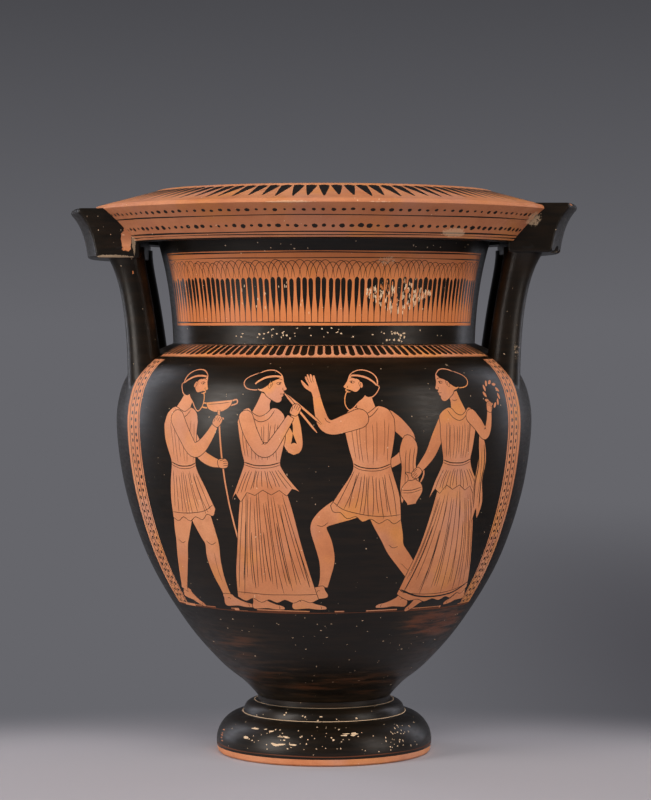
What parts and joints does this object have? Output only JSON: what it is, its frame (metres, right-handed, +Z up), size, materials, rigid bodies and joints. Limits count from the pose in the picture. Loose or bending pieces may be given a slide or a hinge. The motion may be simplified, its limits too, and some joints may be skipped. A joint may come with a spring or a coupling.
{
  "type": "greek krater",
  "caption": "Footed column-krater with an overhanging rim, flat-plated column handles and a red-figure scene on a black gloss body.",
  "frame": {"origin": "centre of the foot's flat resting ring", "axes": "+Z up along the vessel's axis, +X through the right handle, -Y out through the front picture panel"},
  "size_m": [0.378, 0.343, 0.42],
  "materials": {
    "glossed_clay": "fired orange clay under a thin semi-gloss black slip, with the figures and pattern bands left in the clay colour"
  },
  "bodies": {
    "root": {"krater": "glossed_clay"}
  },
  "joints": []
}
